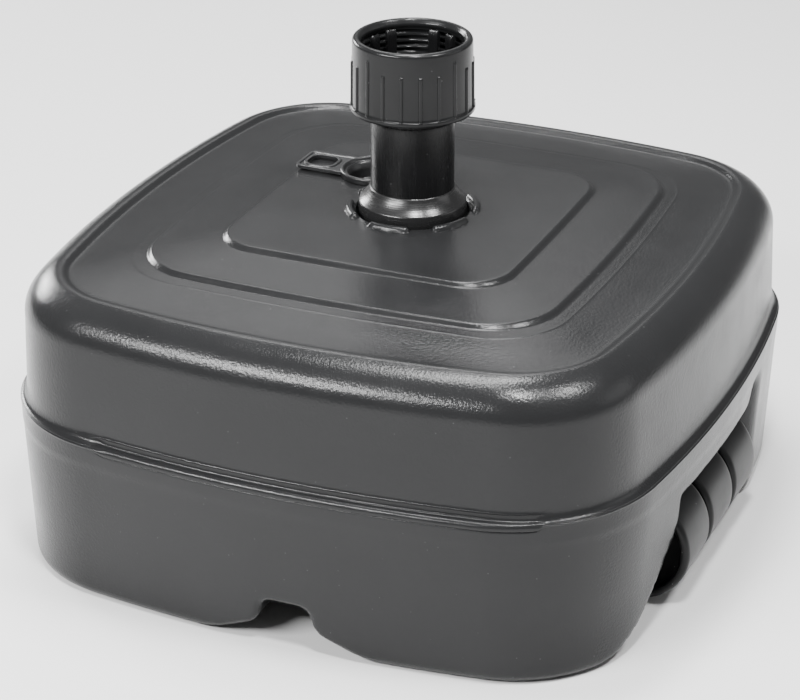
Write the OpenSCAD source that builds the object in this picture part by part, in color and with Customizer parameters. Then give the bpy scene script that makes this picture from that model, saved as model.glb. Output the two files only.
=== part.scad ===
// Fillable parasol base on rollers: a hollow square tank with an upright pole tube and a clamp nut.
// Millimetres, +Z up. The origin is on the pole tube's axis, at the surface the base stands on.
// The front face, with the hand channel, looks towards -Y. The rollers are on the +X side.

/* [Tank] */
// Overall width along X, measured at the ledge
tank_w = 470; // [440:1:520]
// Overall depth along Y, measured at the ledge
tank_d = 484; // [450:1:540]
// Wall thickness of the blow-moulded tank
wall = 4; // [3:0.5:5]
// Width of the hand channel under the front and the back
channel_w = 36; // [24:1:44]
// Height of the hand channel
channel_h = 34; // [26:1:36]

/* [Pole tube] */
// Outside diameter of the upright tube
tube_d = 57.2; // [54:0.1:58]
// Inside diameter of the upright tube, which takes the pole
pole_bore = 52; // [46:0.5:52]
// Height of the tube's upper end
tube_top = 302; // [296:1:306]

/* [Clamp nut] */
// Outside diameter of the nut above its bottom flange
nut_d = 81.6; // [80:0.2:86]
// Height of the nut
nut_h = 50.7; // [50:0.1:54]
// Travel of the nut for one turn
thread_pitch = 4.5; // [3:0.5:5]
// Number of thin grip ribs round the nut
rib_count = 20; // [12:4:28]

/* [Rollers] */
// Diameter of each roller
roller_d = 79; // [77:1:79]
// Width of each roller's tread
roller_w = 49; // [40:1:50]
// Diameter of the axle
axle_d = 12; // [8:1:14]

/* [Filler plug] */
// Diameter of the filler hole
filler_d = 40; // [34:1:42]
// Length of the pull tab, from the plug's centre to the tab's end
tab_l = 56; // [48:1:60]

/* [Hidden] */
$fn = 96;
past = 1;
reach = 60;

// Colours
tank_grey = "#56585a";
tube_black = "#232425";
nut_grey = "#3b3d3f";
roller_black = "#2a2b2c";
steel = "#9a9da0";
rubber_black = "#1c1c1c";

// Tank outline: bowed sides with a large radius, joined by tangent corner arcs
aspect = tank_d / tank_w;
half_w = tank_w / 2;
side_steps = 6;
corner_steps = 10;
ring_points = 4 * (side_steps + corner_steps);

// Heights of the tank's features
base_edge = 8;
ledge_z = 118;
upper_foot_z = 124.5;
shoulder_z = 178;
crest_z = 207.5;
groove_z = 204.3;
panel_z = 209.6;
step_h = 3;
inner_z = 216;
lid_z = 219;

// Widths in from the ledge
foot_in = 6.5;
upper_in = 6;
shoulder_in = 8;
crest_in = 28;
groove_in = 38.5;
middle_half = 149.6;
inner_half = 105.2;
step_run = 3;

// Tunnel for the tube, and the recess under it
tunnel_r = 31;
seat_r = 39;
seat_z = 208;
recess_r = 62;
recess_z = 40;

// Raised arcs round the tunnel's mouth
bump_count = 6;
bump_r = 43.6;
bump_section = 2.9;
bump_span = 38;
bump_rise = 0.6;

// Filler hole and plug
filler_pos = [-49, 47];
filler_r = filler_d / 2;
filler_depth = 25;
tab_turn = 179;
tab_w = 31;
tab_neck = 28;
tab_hole = [20, 18, 6];
tab_hole_in = 15.5;
tab_t = 2.6;
tab_gap = 1.3;
flange_r = filler_r + 4.5;
boss_out = 1.5;
boss_h = 0.2;
flange_t = 2;
cup_gap = 0.35;
cup_wall = 2.6;
cup_depth = 21;
bead_r = 1.5;
bead_at = filler_r + 2.9;
bead_rise = 1.4;

// Hand channel, at the middle of the front and the back
channel_x = 9;
channel_flare = 41;
channel_flare_z = 17;
channel_corner = 9;

// Rollers and their pocket
roller_r = roller_d / 2;
axle_r = axle_d / 2;
axle_x = half_w - roller_r - 0.5;
axle_y = -11;
axle_z = roller_r + 1;
run_gap = 0.06;
hub_r = 13;
hub_w = roller_w + 2;
washer_t = 2.3;
washer_r = 12;
washer_gap = 0.1;
roller_pitch = hub_w + washer_t + 2 * washer_gap;
pocket_half = 1.5 * roller_pitch + washer_t / 2 + washer_gap - 0.05;
pocket_front = axle_y - pocket_half;
pocket_rear = axle_y + pocket_half;
pocket_x = axle_x - roller_r - 6;
pocket_z = 88;
arch_x = axle_x - 4;
arch_rear_r = 22;
lug_t = 14;
lug_x = 13;
lug_z = 15;
cap_r = axle_r + 4;
cap_l = 11;
cap_bore = 9.2;
cap_room = 1.5;
cap_gap = 0.3;
axle_half = pocket_half + lug_t + cap_gap + cap_bore - 0.3;
snap_w = axle_d - 1;

// Pole tube and its fittings
tube_r = tube_d / 2;
bore_r = pole_bore / 2;
tube_bottom = 16;
tube_floor = 4;
collar_r = 37.4;
fit_gap = 0.1;
collar_h = 28.6;
lock_z = 21;
lock_h = 15;
lock_r = 46;
lock_lugs = 8;
lock_lug = 12;
gasket_t = recess_z - lock_z - lock_h;
gasket_gap = 0.4;
groove_depth = 1.1;
fine_pitch = 3.5;
tube_turns = 6;
male_turns = 2;

// Clamp
nut_z = 292.5;
nut_r = nut_d / 2;
flange_out = 1.8;
flange_h = 3.6;
mouth_r = 34.7;
thread_r = 35.6;
thread_depth = 1.4;
thread_rest = 1.7;
nut_mouth = 7;
skirt_z = 286.5;
skirt_t = 1.9;
male_z = 303.5;
male_top = 311;
male_r = 35.2;
finger_top = 339;
finger_in = 27.2;
finger_out = 31.4;
finger_half = 7.5;
finger_spread = 15;
clamp_turn = 23;
ring_z = 293.4;
ring_t = 2.4;
ring_gap = 0.3;
ring_r = 37.2;
ring_seat_r = 37.6;
ring_seat_h = 6.5;
ring_lip_r = 36.5;
ring_lip_h = 0.6;
rib_w = 2.4;
rib_rise = 1;
rib_drop = 16;
tall_rib_drop = 8.5;
rib_turn = -24;

// Centre of the corner arc of an outline with half-width a, corner radius r and side radius s
function corner_at(a, r, s) = (a - s + sqrt(2 * pow(s - r, 2) - pow(s - a, 2))) / 2;
function turned(p, q) = [p[0] * cos(q) - p[1] * sin(q), p[0] * sin(q) + p[1] * cos(q)];
function side_arc(a, r, s, c, t) = [for (i = [1:side_steps - 1])
    let (u = t * (2 * i / side_steps - 1)) [a - s + s * cos(u), s * sin(u)]];
function corner_arc(a, r, s, c, t) = [for (i = [0:corner_steps])
    let (u = t + (90 - 2 * t) * i / corner_steps) [c + r * cos(u), c + r * sin(u)]];
function quarter(a, r, s) = let (c = corner_at(a, r, s), t = atan2(c, c - a + s))
    concat(side_arc(a, r, s, c, t), corner_arc(a, r, s, c, t));
function outline(a, r, s) = [for (q = [0:3]) for (p = quarter(a, r, s))
    let (w = turned(p, 90 * q)) [w[0], w[1] * aspect]];

// Points of a rectangle with rounded corners, centred on the origin
function rounded(w, d, r) = [for (q = [0:3]) for (i = [0:4])
    let (u = 90 * q + 22.5 * i, x = (q == 0 || q == 3) ? 1 : -1, y = (q < 2) ? 1 : -1)
    [x * (w / 2 - r) + r * cos(u), y * (d / 2 - r) + r * sin(u)]];

// Rings of the shoulder, from the upper wall round to the rim's crest, shifted in by t
shoulder_steps = 4;
wall_corner = 86;
crest_corner = 68;
wall_side = 905;
function shoulder(t) = [for (i = [0:shoulder_steps]) let (u = 90 * i / shoulder_steps)
    [half_w - crest_in + (crest_in - shoulder_in - t) * cos(u),
        shoulder_z + (crest_z - shoulder_z - t) * sin(u),
        wall_corner + (crest_corner - wall_corner) * i / shoulder_steps - t / 2, wall_side]];

// Each ring is [half-width, height, corner radius, side radius]
outer_rings = concat(
    [[half_w - foot_in - 6.5, 0, 84, 950], [half_w - foot_in - 2.4, 2.2, 88, 970],
        [half_w - foot_in, base_edge, 91, 980], [half_w, ledge_z - 2, 105, 976],
        [half_w - 0.6, ledge_z + 1, 104, 976], [half_w - 2.4, ledge_z + 4.6, 102, 976],
        [half_w - upper_in, upper_foot_z, 89.5, 908]],
    shoulder(0),
    [[half_w - crest_in - 5, crest_z - 1.1, 63, 904], [half_w - groove_in, groove_z, 57, 903],
        [middle_half, panel_z, 49, 1600], [middle_half - step_run / 2, panel_z + step_h * 0.65, 48, 1600],
        [middle_half - step_run, panel_z + step_h, 46, 1600],
        [inner_half, inner_z, 32, 3300], [inner_half - step_run / 2, inner_z + step_h * 0.65, 31, 3300],
        [inner_half - step_run, inner_z + step_h, 30, 3300], [55, lid_z, 40, 3300]]);
inner_rings = concat(
    [[half_w - foot_in - wall - 7, wall, 78, 950], [half_w - foot_in - wall, base_edge + wall, 86, 976],
        [half_w - wall, ledge_z - 4, 101, 972], [half_w - wall - 0.5, ledge_z, 100, 972],
        [half_w - upper_in - wall - 0.5, upper_foot_z + 1, 85, 904]],
    shoulder(wall),
    [[half_w - groove_in - 1, groove_z - wall - 0.6, 55, 900],
        [middle_half - 1, panel_z - wall - 0.6, 48, 1600], [inner_half - 1, inner_z - wall - 0.6, 31, 3300],
        [55, lid_z - wall - 1.4, 40, 3300]]);

module loft(rings) {
    n = ring_points;
    points = [for (g = rings) for (p = outline(g[0], g[2], g[3])) [p[0], p[1], g[1]]];
    last = (len(rings) - 1) * n;
    walls = [for (k = [0:len(rings) - 2]) for (i = [0:n - 1]) let (j = (i + 1) % n)
        each [[k * n + i, k * n + n + i, k * n + n + j], [k * n + i, k * n + n + j, k * n + j]]];
    bottom = [for (i = [0:n - 1]) i];
    top = [for (i = [0:n - 1]) last + n - 1 - i];
    polyhedron(points, concat(walls, [bottom, top]));
}

// Profile of the hand channel in X and Z, widened by g
module channel_profile(g) {
    h = channel_w / 2 + g;
    f = h + channel_flare;
    top = channel_h + g;
    polygon(concat([[-f, -g - 1], [-h - 1, channel_flare_z + g], [-h, channel_flare_z + 7 + g]],
        [for (i = [4:-1:0]) [-h + channel_corner + channel_corner * cos(90 + 22.5 * i),
            top - channel_corner + channel_corner * sin(90 + 22.5 * i)]],
        [for (i = [4:-1:0]) [h - channel_corner + channel_corner * cos(22.5 * i),
            top - channel_corner + channel_corner * sin(22.5 * i)]],
        [[h, channel_flare_z + 7 + g], [h + 1, channel_flare_z + g], [f, -g - 1]]));
}

module channels(g) {
    translate([channel_x, tank_d, 0]) rotate([90, 0, 0]) linear_extrude(2 * tank_d) channel_profile(g);
}

// Profile of the wheel opening in Y and Z, widened by g: it flares towards the front foot
module arch_profile(g) {
    f = pocket_front - g;
    polygon([[-178 - g, -5], [-175 - g, 3], [-157 - g, 11 + g], [-140 - g, 20 + g],
        [-125 - g, 33 + g], [-105 - g, 53 + g], [f - 4, 62 + g], [f, 74 + g],
        [f + 2, 82 + g], [f + 9, pocket_z + g], [pocket_rear + g, pocket_z + g], [pocket_rear + g, -5]]);
}

// Round lead-in from the outer wall to the pocket's rear wall
module arch_rear(g) {
    r = arch_rear_r - g;
    side = half_w - 6 - arch_rear_r;
    translate([0, 0, -past]) linear_extrude(pocket_z + past + g) difference() {
        translate([side, pocket_rear - past]) square([reach, arch_rear_r + past]);
        translate([side, pocket_rear + arch_rear_r]) circle(r = r);
    }
}

module wheel_opening(g) {
    translate([arch_x - g, 0, 0]) rotate([90, 0, 90]) linear_extrude(reach) arch_profile(g);
    arch_rear(g);
    translate([pocket_x - g, pocket_front - g, -past])
        cube([reach + past, 2 * (pocket_half + g), pocket_z + past + g]);
    cap_rooms(g);
}

// Round rooms for the axle's caps beyond the lugs, open from below
module cap_rooms(g) {
    r = cap_r + cap_room + g;
    l = cap_l + 2 * cap_room + cap_gap;
    for (side = [-1, 1])
        translate([axle_x, axle_y + side * (pocket_half + lug_t + l / 2), 0]) {
            translate([0, l / 2 + g, axle_z]) rotate([90, 0, 0]) cylinder(r = r, h = l + 2 * g);
            translate([-r, -l / 2 - g, -past]) cube([2 * r, l + 2 * g, axle_z + past]);
        }
}

// Lugs that hold the axle's ends, one at each side of the pocket
module axle_lugs(g) {
    for (side = [-1, 1])
        translate([axle_x - lug_x - g, axle_y + side * (pocket_half + lug_t / 2) - lug_t / 2 - g, lug_z])
            cube([2 * (lug_x + g), lug_t + 2 * g, pocket_z - lug_z + g]);
}

// Seat of the axle, open from below, widened by g
module axle_slot(g) {
    translate([axle_x, axle_y + axle_half + g, axle_z]) rotate([90, 0, 0])
        cylinder(r = axle_r + fit_gap + g, h = 2 * (axle_half + g));
    translate([axle_x - snap_w / 2 - g, axle_y - axle_half - g, -past])
        cube([snap_w + 2 * g, 2 * (axle_half + g), axle_z + past]);
}

module tank_hollow() {
    difference() {
        loft(inner_rings);
        channels(wall);
        wheel_opening(wall);
        axle_lugs(wall);
        axle_slot(wall);
        cylinder(r = tunnel_r + wall, h = lid_z);
        translate([0, 0, -past]) cylinder(r = recess_r + wall, h = recess_z + wall + past);
        translate([0, 0, seat_z - wall]) cylinder(r = seat_r + wall, h = reach);
        translate([filler_pos[0], filler_pos[1], lid_z - filler_depth])
            cylinder(r = filler_r + wall, h = reach);
    }
}

// Raised arcs, cut short where the plug's flange needs room
module bumps() {
    difference() {
        for (i = [0:bump_count - 1])
            rotate(360 / bump_count * (i + 0.5) - bump_span / 2)
                rotate_extrude(angle = bump_span) translate([bump_r, lid_z + bump_rise])
                    circle(r = bump_section);
        translate([filler_pos[0], filler_pos[1], lid_z]) cylinder(r = flange_r + boss_out, h = reach);
    }
}

module tank() {
    color(tank_grey) difference() {
        union() {
            difference() {
                loft(outer_rings);
                wheel_opening(0);
            }
            intersection() {
                axle_lugs(0);
                translate([0, 0, past]) cylinder(r = tank_w, h = pocket_z + wall);
            }
            bumps();
            translate([filler_pos[0], filler_pos[1], lid_z - wall])
                cylinder(r = flange_r + boss_out, h = wall + boss_h);
        }
        tank_hollow();
        channels(0);
        axle_slot(0);
        translate([0, 0, -past]) cylinder(r = recess_r, h = recess_z + past);
        cylinder(r = tunnel_r, h = lid_z + reach);
        translate([0, 0, seat_z]) cylinder(r = seat_r, h = reach);
        translate([filler_pos[0], filler_pos[1], lid_z - reach]) cylinder(r = filler_r, h = 2 * reach);
    }
}

// Zigzag of a thread seen in section: starts at [r, z], n turns of pitch p, depth d
function zigzag(r, z, n, p, d) = [for (i = [0:n - 1]) each
    [[r, z + p * i], [r, z + p * (i + 0.3)], [r + d, z + p * (i + 0.5)], [r + d, z + p * (i + 0.8)]]];

module upright_tube() {
    color(tube_black) rotate_extrude() polygon(concat(
        [[0, tube_bottom], [tube_r, tube_bottom]],
        zigzag(tube_r, tube_bottom + 2, tube_turns, fine_pitch, -groove_depth),
        [[tube_r, tube_bottom + 2 + tube_turns * fine_pitch], [tube_r, tube_top], [bore_r, tube_top],
            [bore_r, tube_bottom + tube_floor], [0, tube_bottom + tube_floor]]));
}

// Each point is [in from the collar's widest, up from its seat]
collar_profile = [[3.1, 0], [1.8, 4], [0.4, 8.5], [0, 13.5], [0.5, 18.2], [4, 21.6], [6.8, 25.8], [8, 28.6]];

module seat_collar() {
    r = tube_r + fit_gap;
    color(tube_black) rotate_extrude() polygon(concat(
        [[r, seat_z]],
        [for (p = collar_profile) [collar_r - p[0], seat_z + p[1]]],
        [[r, seat_z + collar_h]]));
}

module finger(at) {
    rotate(at - finger_half) rotate_extrude(angle = 2 * finger_half) polygon(
        [[finger_in, male_top - 3], [finger_out, male_top - 3], [finger_out, finger_top - 6],
            [finger_out - 0.8, finger_top - 1.5], [finger_out - 2, finger_top],
            [finger_in + 0.8, finger_top], [finger_in, finger_top - 1.5]]);
}

module clamp_collet() {
    color(tube_black) {
        rotate_extrude() polygon(concat(
            [[tube_r + fit_gap, skirt_z], [tube_r + skirt_t, skirt_z], [tube_r + skirt_t, male_z]],
            zigzag(male_r, male_z + 0.4, male_turns, fine_pitch, -groove_depth),
            [[male_r, male_top], [bore_r + 0.2, male_top], [bore_r + 0.2, tube_top + 0.2],
                [tube_r + fit_gap, tube_top + 0.2]]));
        for (k = [0:3]) {
            finger(clamp_turn + 45 + 90 * k - finger_spread);
            finger(clamp_turn + 45 + 90 * k + finger_spread);
        }
    }
}

module captive_ring() {
    color(nut_grey) translate([0, 0, ring_z]) difference() {
        cylinder(r = ring_r, h = ring_t);
        translate([0, 0, -past]) cylinder(r = tube_r + skirt_t + ring_gap, h = ring_t + 2 * past);
    }
}

module nut_rib(drop) {
    translate([nut_r - 3, -rib_w / 2, 2]) cube([3 + rib_rise, rib_w, nut_h - drop - 2]);
}

module clamp_nut() {
    top = nut_h - nut_mouth;
    turns = floor((top - ring_seat_h - thread_rest) / thread_pitch);
    color(nut_grey) translate([0, 0, nut_z]) {
        rotate_extrude() polygon(concat(
            [[ring_lip_r, 0], [nut_r + flange_out - 0.8, 0], [nut_r + flange_out, 0.8],
                [nut_r + flange_out, flange_h - 0.8], [nut_r + 0.6, flange_h + 0.6], [nut_r, nut_h - 6]],
            [for (i = [0:5]) [nut_r - 3 + 3 * cos(18 * i), nut_h - 3 + 3 * sin(18 * i)]],
            [[mouth_r + 1.2, nut_h - 2.2], [mouth_r, nut_h - 3.6], [mouth_r, nut_h - 5], [thread_r, top]],
            [for (i = [turns - 1:-1:0]) each [for (w = [0.8, 0.5, 0.3, 0])
                [thread_r + (w > 0.4 ? thread_depth : 0), top + thread_pitch * (i + w - turns)]]],
            [[thread_r, ring_seat_h], [ring_seat_r, ring_seat_h], [ring_seat_r, ring_lip_h],
                [ring_lip_r, ring_lip_h]]));
        for (i = [0:rib_count - 1])
            rotate(rib_turn + 360 / rib_count * i)
                nut_rib(i % (rib_count / 4) == 0 ? tall_rib_drop : rib_drop);
    }
}

module tube_lock_nut() {
    color(tube_black) translate([0, 0, lock_z]) difference() {
        union() {
            cylinder(r = lock_r - lock_lug / 2, h = lock_h);
            for (i = [0:lock_lugs - 1])
                rotate(360 / lock_lugs * i) translate([lock_r - lock_lug, -lock_lug / 2, 0])
                    cube([lock_lug, lock_lug, lock_h - 3]);
        }
        translate([0, 0, -past]) cylinder(r = tube_r + fit_gap, h = lock_h + 2 * past);
    }
}

module lock_gasket() {
    color(rubber_black) translate([0, 0, lock_z + lock_h]) difference() {
        cylinder(r = lock_r, h = gasket_t);
        translate([0, 0, -past]) cylinder(r = tube_r + gasket_gap, h = gasket_t + 2 * past);
    }
}

module tab_outline() {
    neck = filler_r;
    half = tab_w / 2;
    polygon([[neck / 2, -neck], [neck + 3, -neck + 3], [tab_neck, -half], [tab_l - 6, -half],
        [tab_l - 2, -half + 2], [tab_l, -half + 6], [tab_l, half - 6], [tab_l - 2, half - 2],
        [tab_l - 6, half], [tab_neck, half], [neck + 3, neck - 3], [neck / 2, neck]]);
}

module filler_plug() {
    seat = lid_z + boss_h;
    tab_z = seat + tab_gap;
    cup_r = filler_r - cup_gap;
    color(tube_black) translate([filler_pos[0], filler_pos[1], 0]) {
        rotate_extrude() polygon(concat(
            [[0, seat - cup_depth], [cup_r - 2, seat - cup_depth], [cup_r - 0.6, seat - cup_depth + 3],
                [cup_r, seat - 6], [cup_r, seat], [flange_r, seat], [flange_r, seat + flange_t]],
            [for (i = [0:4])
                [bead_at + bead_r * cos(45 * i), seat + flange_t + bead_rise + bead_r * sin(45 * i)]],
            [[filler_r + 1, seat + flange_t], [filler_r + 0.5, seat + 0.5], [cup_r - cup_wall, seat - 2],
                [cup_r - cup_wall, seat - 9], [cup_r - cup_wall - 1.6, seat - 10],
                [cup_r - cup_wall - 1.6, seat - cup_depth + 2.5], [0, seat - cup_depth + 2.5]]));
        rotate(tab_turn) translate([0, 0, tab_z]) linear_extrude(tab_t) difference() {
            tab_outline();
            circle(r = bead_at - bead_r / 2);
            translate([tab_l - tab_hole_in, 0]) polygon(rounded(tab_hole[0], tab_hole[1], tab_hole[2]));
        }
    }
}

module roller(at) {
    w = roller_w / 2;
    h = hub_w / 2;
    f = 3;
    profile = [[axle_r + run_gap, -h], [hub_r, -h], [hub_r + 0.5, -w + 7], [roller_r - 6, -w + 7],
        [roller_r - 5, -w], [roller_r - f, -w], [roller_r - 0.9, -w + 0.9], [roller_r, -w + f],
        [roller_r, w - f], [roller_r - 0.9, w - 0.9], [roller_r - f, w], [roller_r - 5, w],
        [roller_r - 6, w - 7], [hub_r + 0.5, w - 7], [hub_r, h], [axle_r + run_gap, h]];
    color(roller_black) translate([axle_x, axle_y + at, axle_z]) rotate([90, 0, 0])
        rotate_extrude() polygon(profile);
}

module roller_front() {
    roller(-roller_pitch);
}

module roller_middle() {
    roller(0);
}

module roller_rear() {
    roller(roller_pitch);
}

module roller_axle() {
    color(steel) translate([axle_x, axle_y + axle_half, axle_z]) rotate([90, 0, 0])
        cylinder(r = axle_r, h = 2 * axle_half);
}

module axle_washers() {
    color(roller_black) for (i = [0:3])
        translate([axle_x, axle_y + roller_pitch * (i - 1.5) + washer_t / 2, axle_z])
            rotate([90, 0, 0]) difference() {
                cylinder(r = washer_r, h = washer_t);
                translate([0, 0, -past]) cylinder(r = axle_r + run_gap, h = washer_t + 2 * past);
            }
}

module axle_cap() {
    difference() {
        cylinder(r = cap_r, h = cap_l);
        translate([0, 0, -past]) cylinder(r = axle_r + fit_gap / 2, h = cap_bore + past);
    }
}

module axle_cap_front() {
    color(roller_black) translate([axle_x, pocket_front - lug_t - cap_gap, axle_z])
        rotate([90, 0, 0]) axle_cap();
}

module axle_cap_rear() {
    color(roller_black) translate([axle_x, pocket_rear + lug_t + cap_gap, axle_z])
        rotate([-90, 0, 0]) axle_cap();
}

tank();
upright_tube();
seat_collar();
clamp_collet();
captive_ring();
clamp_nut();
tube_lock_nut();
lock_gasket();
filler_plug();
roller_front();
roller_middle();
roller_rear();
roller_axle();
axle_washers();
axle_cap_front();
axle_cap_rear();
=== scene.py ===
import itertools
import math

import bpy
import numpy as np
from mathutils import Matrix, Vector


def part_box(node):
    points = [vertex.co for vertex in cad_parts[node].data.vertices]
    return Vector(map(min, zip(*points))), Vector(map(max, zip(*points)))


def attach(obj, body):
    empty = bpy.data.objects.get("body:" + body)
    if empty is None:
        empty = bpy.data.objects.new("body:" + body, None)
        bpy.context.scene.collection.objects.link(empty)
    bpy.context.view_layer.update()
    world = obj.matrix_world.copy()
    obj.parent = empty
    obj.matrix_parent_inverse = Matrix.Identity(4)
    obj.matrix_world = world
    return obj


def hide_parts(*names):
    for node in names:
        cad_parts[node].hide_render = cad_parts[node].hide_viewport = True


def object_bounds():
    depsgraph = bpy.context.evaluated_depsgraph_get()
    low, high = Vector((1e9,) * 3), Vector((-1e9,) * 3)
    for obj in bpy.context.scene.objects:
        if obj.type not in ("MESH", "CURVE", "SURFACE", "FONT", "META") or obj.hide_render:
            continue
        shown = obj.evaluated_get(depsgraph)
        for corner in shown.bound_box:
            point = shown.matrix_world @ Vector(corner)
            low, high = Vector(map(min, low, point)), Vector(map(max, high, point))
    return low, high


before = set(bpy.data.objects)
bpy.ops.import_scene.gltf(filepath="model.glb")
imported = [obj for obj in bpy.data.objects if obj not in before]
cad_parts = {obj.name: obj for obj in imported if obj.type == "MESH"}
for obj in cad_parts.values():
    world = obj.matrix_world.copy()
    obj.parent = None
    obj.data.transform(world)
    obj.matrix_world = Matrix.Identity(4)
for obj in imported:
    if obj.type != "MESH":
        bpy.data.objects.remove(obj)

# Blender's own starting objects
for name in ("Cube", "Light", "Camera"):
    if name in bpy.data.objects:
        bpy.data.objects.remove(bpy.data.objects[name])
cad_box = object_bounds()

# The shapes below are written in millimetres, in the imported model's own frame.
MM = 0.001


# ---------------------------------------------------------------- mesh tools

def smooth_step(low, high, value):
    """0 below low, 1 above high and a smooth change between them."""
    t = np.clip((value - low) / (high - low), 0, 1)
    return t * t * (3 - 2 * t)


def round_and(a, b, r):
    """Distance to what two solids share, with the edge between them rounded to radius r."""
    return np.minimum(np.maximum(a + r, b + r), 0) + np.hypot(np.maximum(a + r, 0), np.maximum(b + r, 0)) - r


def round_or(a, b, r):
    """Distance to two joined solids, with the corner between them filled to radius r."""
    return -round_and(-a, -b, r)


def box_distance(u, v, half_u, half_v, r):
    """Distance to a rectangle with rounded corners."""
    du = np.abs(u) - half_u + r
    dv = np.abs(v) - half_v + r
    return np.hypot(np.maximum(du, 0), np.maximum(dv, 0)) + np.minimum(np.maximum(du, dv), 0) - r


def polygon_distance(u, v, corners):
    """Distance to a closed polygon, negative inside it."""
    nearest = np.full(u.shape, 1e9)
    inside = np.zeros(u.shape, bool)
    for (au, av), (bu, bv) in zip(corners, corners[1:] + corners[:1]):
        eu, ev = bu - au, bv - av
        t = np.clip(((u - au) * eu + (v - av) * ev) / (eu * eu + ev * ev), 0, 1)
        nearest = np.minimum(nearest, np.hypot(u - au - t * eu, v - av - t * ev))
        crosses = (av > v) != (bv > v)
        if bv != av:
            inside ^= crosses & (u < au + (v - av) * eu / ev)
    return np.where(inside, -nearest, nearest)


def graded(*marks):
    """Grid lines from marks (place, spacing up to the next mark). The last mark is a bare place."""
    lines = []
    for (start, spacing), following in zip(marks[:-1], marks[1:]):
        end = following[0] if isinstance(following, tuple) else following
        count = max(1, round((end - start) / spacing))
        lines += list(np.linspace(start, end, count, endpoint=False))
    return np.array(lines + [marks[-1]], float)


def settle(points, distance, reach):
    """Moves points onto the surface where distance is zero, none of them further than reach."""
    start = points.copy()
    probe = 0.02
    for _ in range(5):
        d = distance(*points.T)
        slope = np.empty_like(points)
        for axis in range(3):
            shift = np.zeros(3)
            shift[axis] = probe
            slope[:, axis] = (distance(*(points + shift).T) - distance(*(points - shift).T)) / (2 * probe)
        size = np.maximum((slope ** 2).sum(1), 0.05)
        points = points - (d / size)[:, None] * slope
        moved = points - start
        length = np.linalg.norm(moved, axis=1, keepdims=True)
        points = start + moved * np.minimum(1, reach / np.maximum(length, 1e-9))
    return points


def surface_net(distance, xs, ys, zs):
    """Points and quads on the surface of a solid, one point to each grid cell that it crosses."""
    lines = (xs, ys, zs)
    shape = tuple(len(line) for line in lines)
    mesh = np.meshgrid(*lines, indexing="ij")
    value = distance(*(m.ravel() for m in mesh)).reshape(shape)
    inside = value < 0
    corners = list(itertools.product((0, 1), repeat=3))
    count = sum(inside[i:shape[0] - 1 + i, j:shape[1] - 1 + j, k:shape[2] - 1 + k].astype(int)
                for i, j, k in corners)
    active = (count > 0) & (count < 8)
    number = np.full(active.shape, -1)
    number[active] = np.arange(active.sum())
    cells = np.argwhere(active)
    total = np.zeros((len(cells), 3))
    hits = np.zeros(len(cells))
    for axis in range(3):
        for near in (c for c in corners if c[axis] == 0):
            a = cells + near
            b = a.copy()
            b[:, axis] += 1
            va, vb = value[tuple(a.T)], value[tuple(b.T)]
            cut = (va < 0) != (vb < 0)
            t = np.where(cut, va / np.where(cut, va - vb, 1), 0)
            pa = np.stack([lines[k][a[:, k]] for k in range(3)], 1)
            pb = np.stack([lines[k][b[:, k]] for k in range(3)], 1)
            total += np.where(cut[:, None], pa + t[:, None] * (pb - pa), 0)
            hits += cut
    points = total / hits[:, None]
    points = settle(points, distance, 0.6 * min(np.diff(line).min() for line in lines))
    quads = []
    for axis in range(3):
        b, c = (axis + 1) % 3, (axis + 2) % 3
        low = [slice(None)] * 3
        high = [slice(None)] * 3
        low[axis], high[axis] = slice(0, -1), slice(1, None)
        change = inside[tuple(low)] != inside[tuple(high)]
        at = np.argwhere(change)
        at = at[(at[:, b] > 0) & (at[:, b] < shape[b] - 1) & (at[:, c] > 0) & (at[:, c] < shape[c] - 1)]
        ring = []
        for db, dc in ((-1, -1), (0, -1), (0, 0), (-1, 0)):
            cell = at.copy()
            cell[:, b] += db
            cell[:, c] += dc
            ring.append(number[tuple(cell.T)])
        ring = np.stack(ring, 1)
        outward = inside[tuple(at.T)]
        quads.append(np.where(outward[:, None], ring, ring[:, ::-1]))
    return points, np.concatenate(quads)


def grid_quads(rows, columns, first=0, closed_rows=False):
    """Quads between rows of points, each row closed on itself; closed_rows joins last to first."""
    row = np.arange(rows if closed_rows else rows - 1)
    column = np.arange(columns)
    r, c = (m.ravel() for m in np.meshgrid(row, column, indexing="ij"))
    r2, c2 = (r + 1) % rows, (c + 1) % columns
    return first + np.stack([r * columns + c, r * columns + c2, r2 * columns + c2, r2 * columns + c], 1)


def arc(cu, cv, r, start, end, steps):
    """Points of an arc, with its angles in degrees."""
    turn = np.radians(np.linspace(start, end, steps + 1))
    return [(cu + r * math.cos(t), cv + r * math.sin(t)) for t in turn]


def rounded_path(corners, steps):
    """A closed line through corners (u, v, cut), each cut back that far and rounded."""
    points = []
    for i, (u, v, cut) in enumerate(corners):
        here = np.array([u, v])
        before = np.array(corners[i - 1][:2])
        after = np.array(corners[(i + 1) % len(corners)][:2])
        if cut == 0:
            points.append(tuple(here))
            continue
        start = here + (before - here) * min(0.49, cut / np.linalg.norm(before - here))
        end = here + (after - here) * min(0.49, cut / np.linalg.norm(after - here))
        for t in np.linspace(0, 1, steps + 1):
            points.append(tuple((1 - t) ** 2 * start + 2 * t * (1 - t) * here + t ** 2 * end))
    return points


def divided(profile, longest):
    """A closed outline with its long stretches divided."""
    points = []
    for (au, av), (bu, bv) in zip(profile, profile[1:] + profile[:1]):
        count = max(1, math.ceil(math.hypot(bu - au, bv - av) / longest))
        points += [(au + (bu - au) * k / count, av + (bv - av) * k / count) for k in range(count)]
    return points


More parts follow.
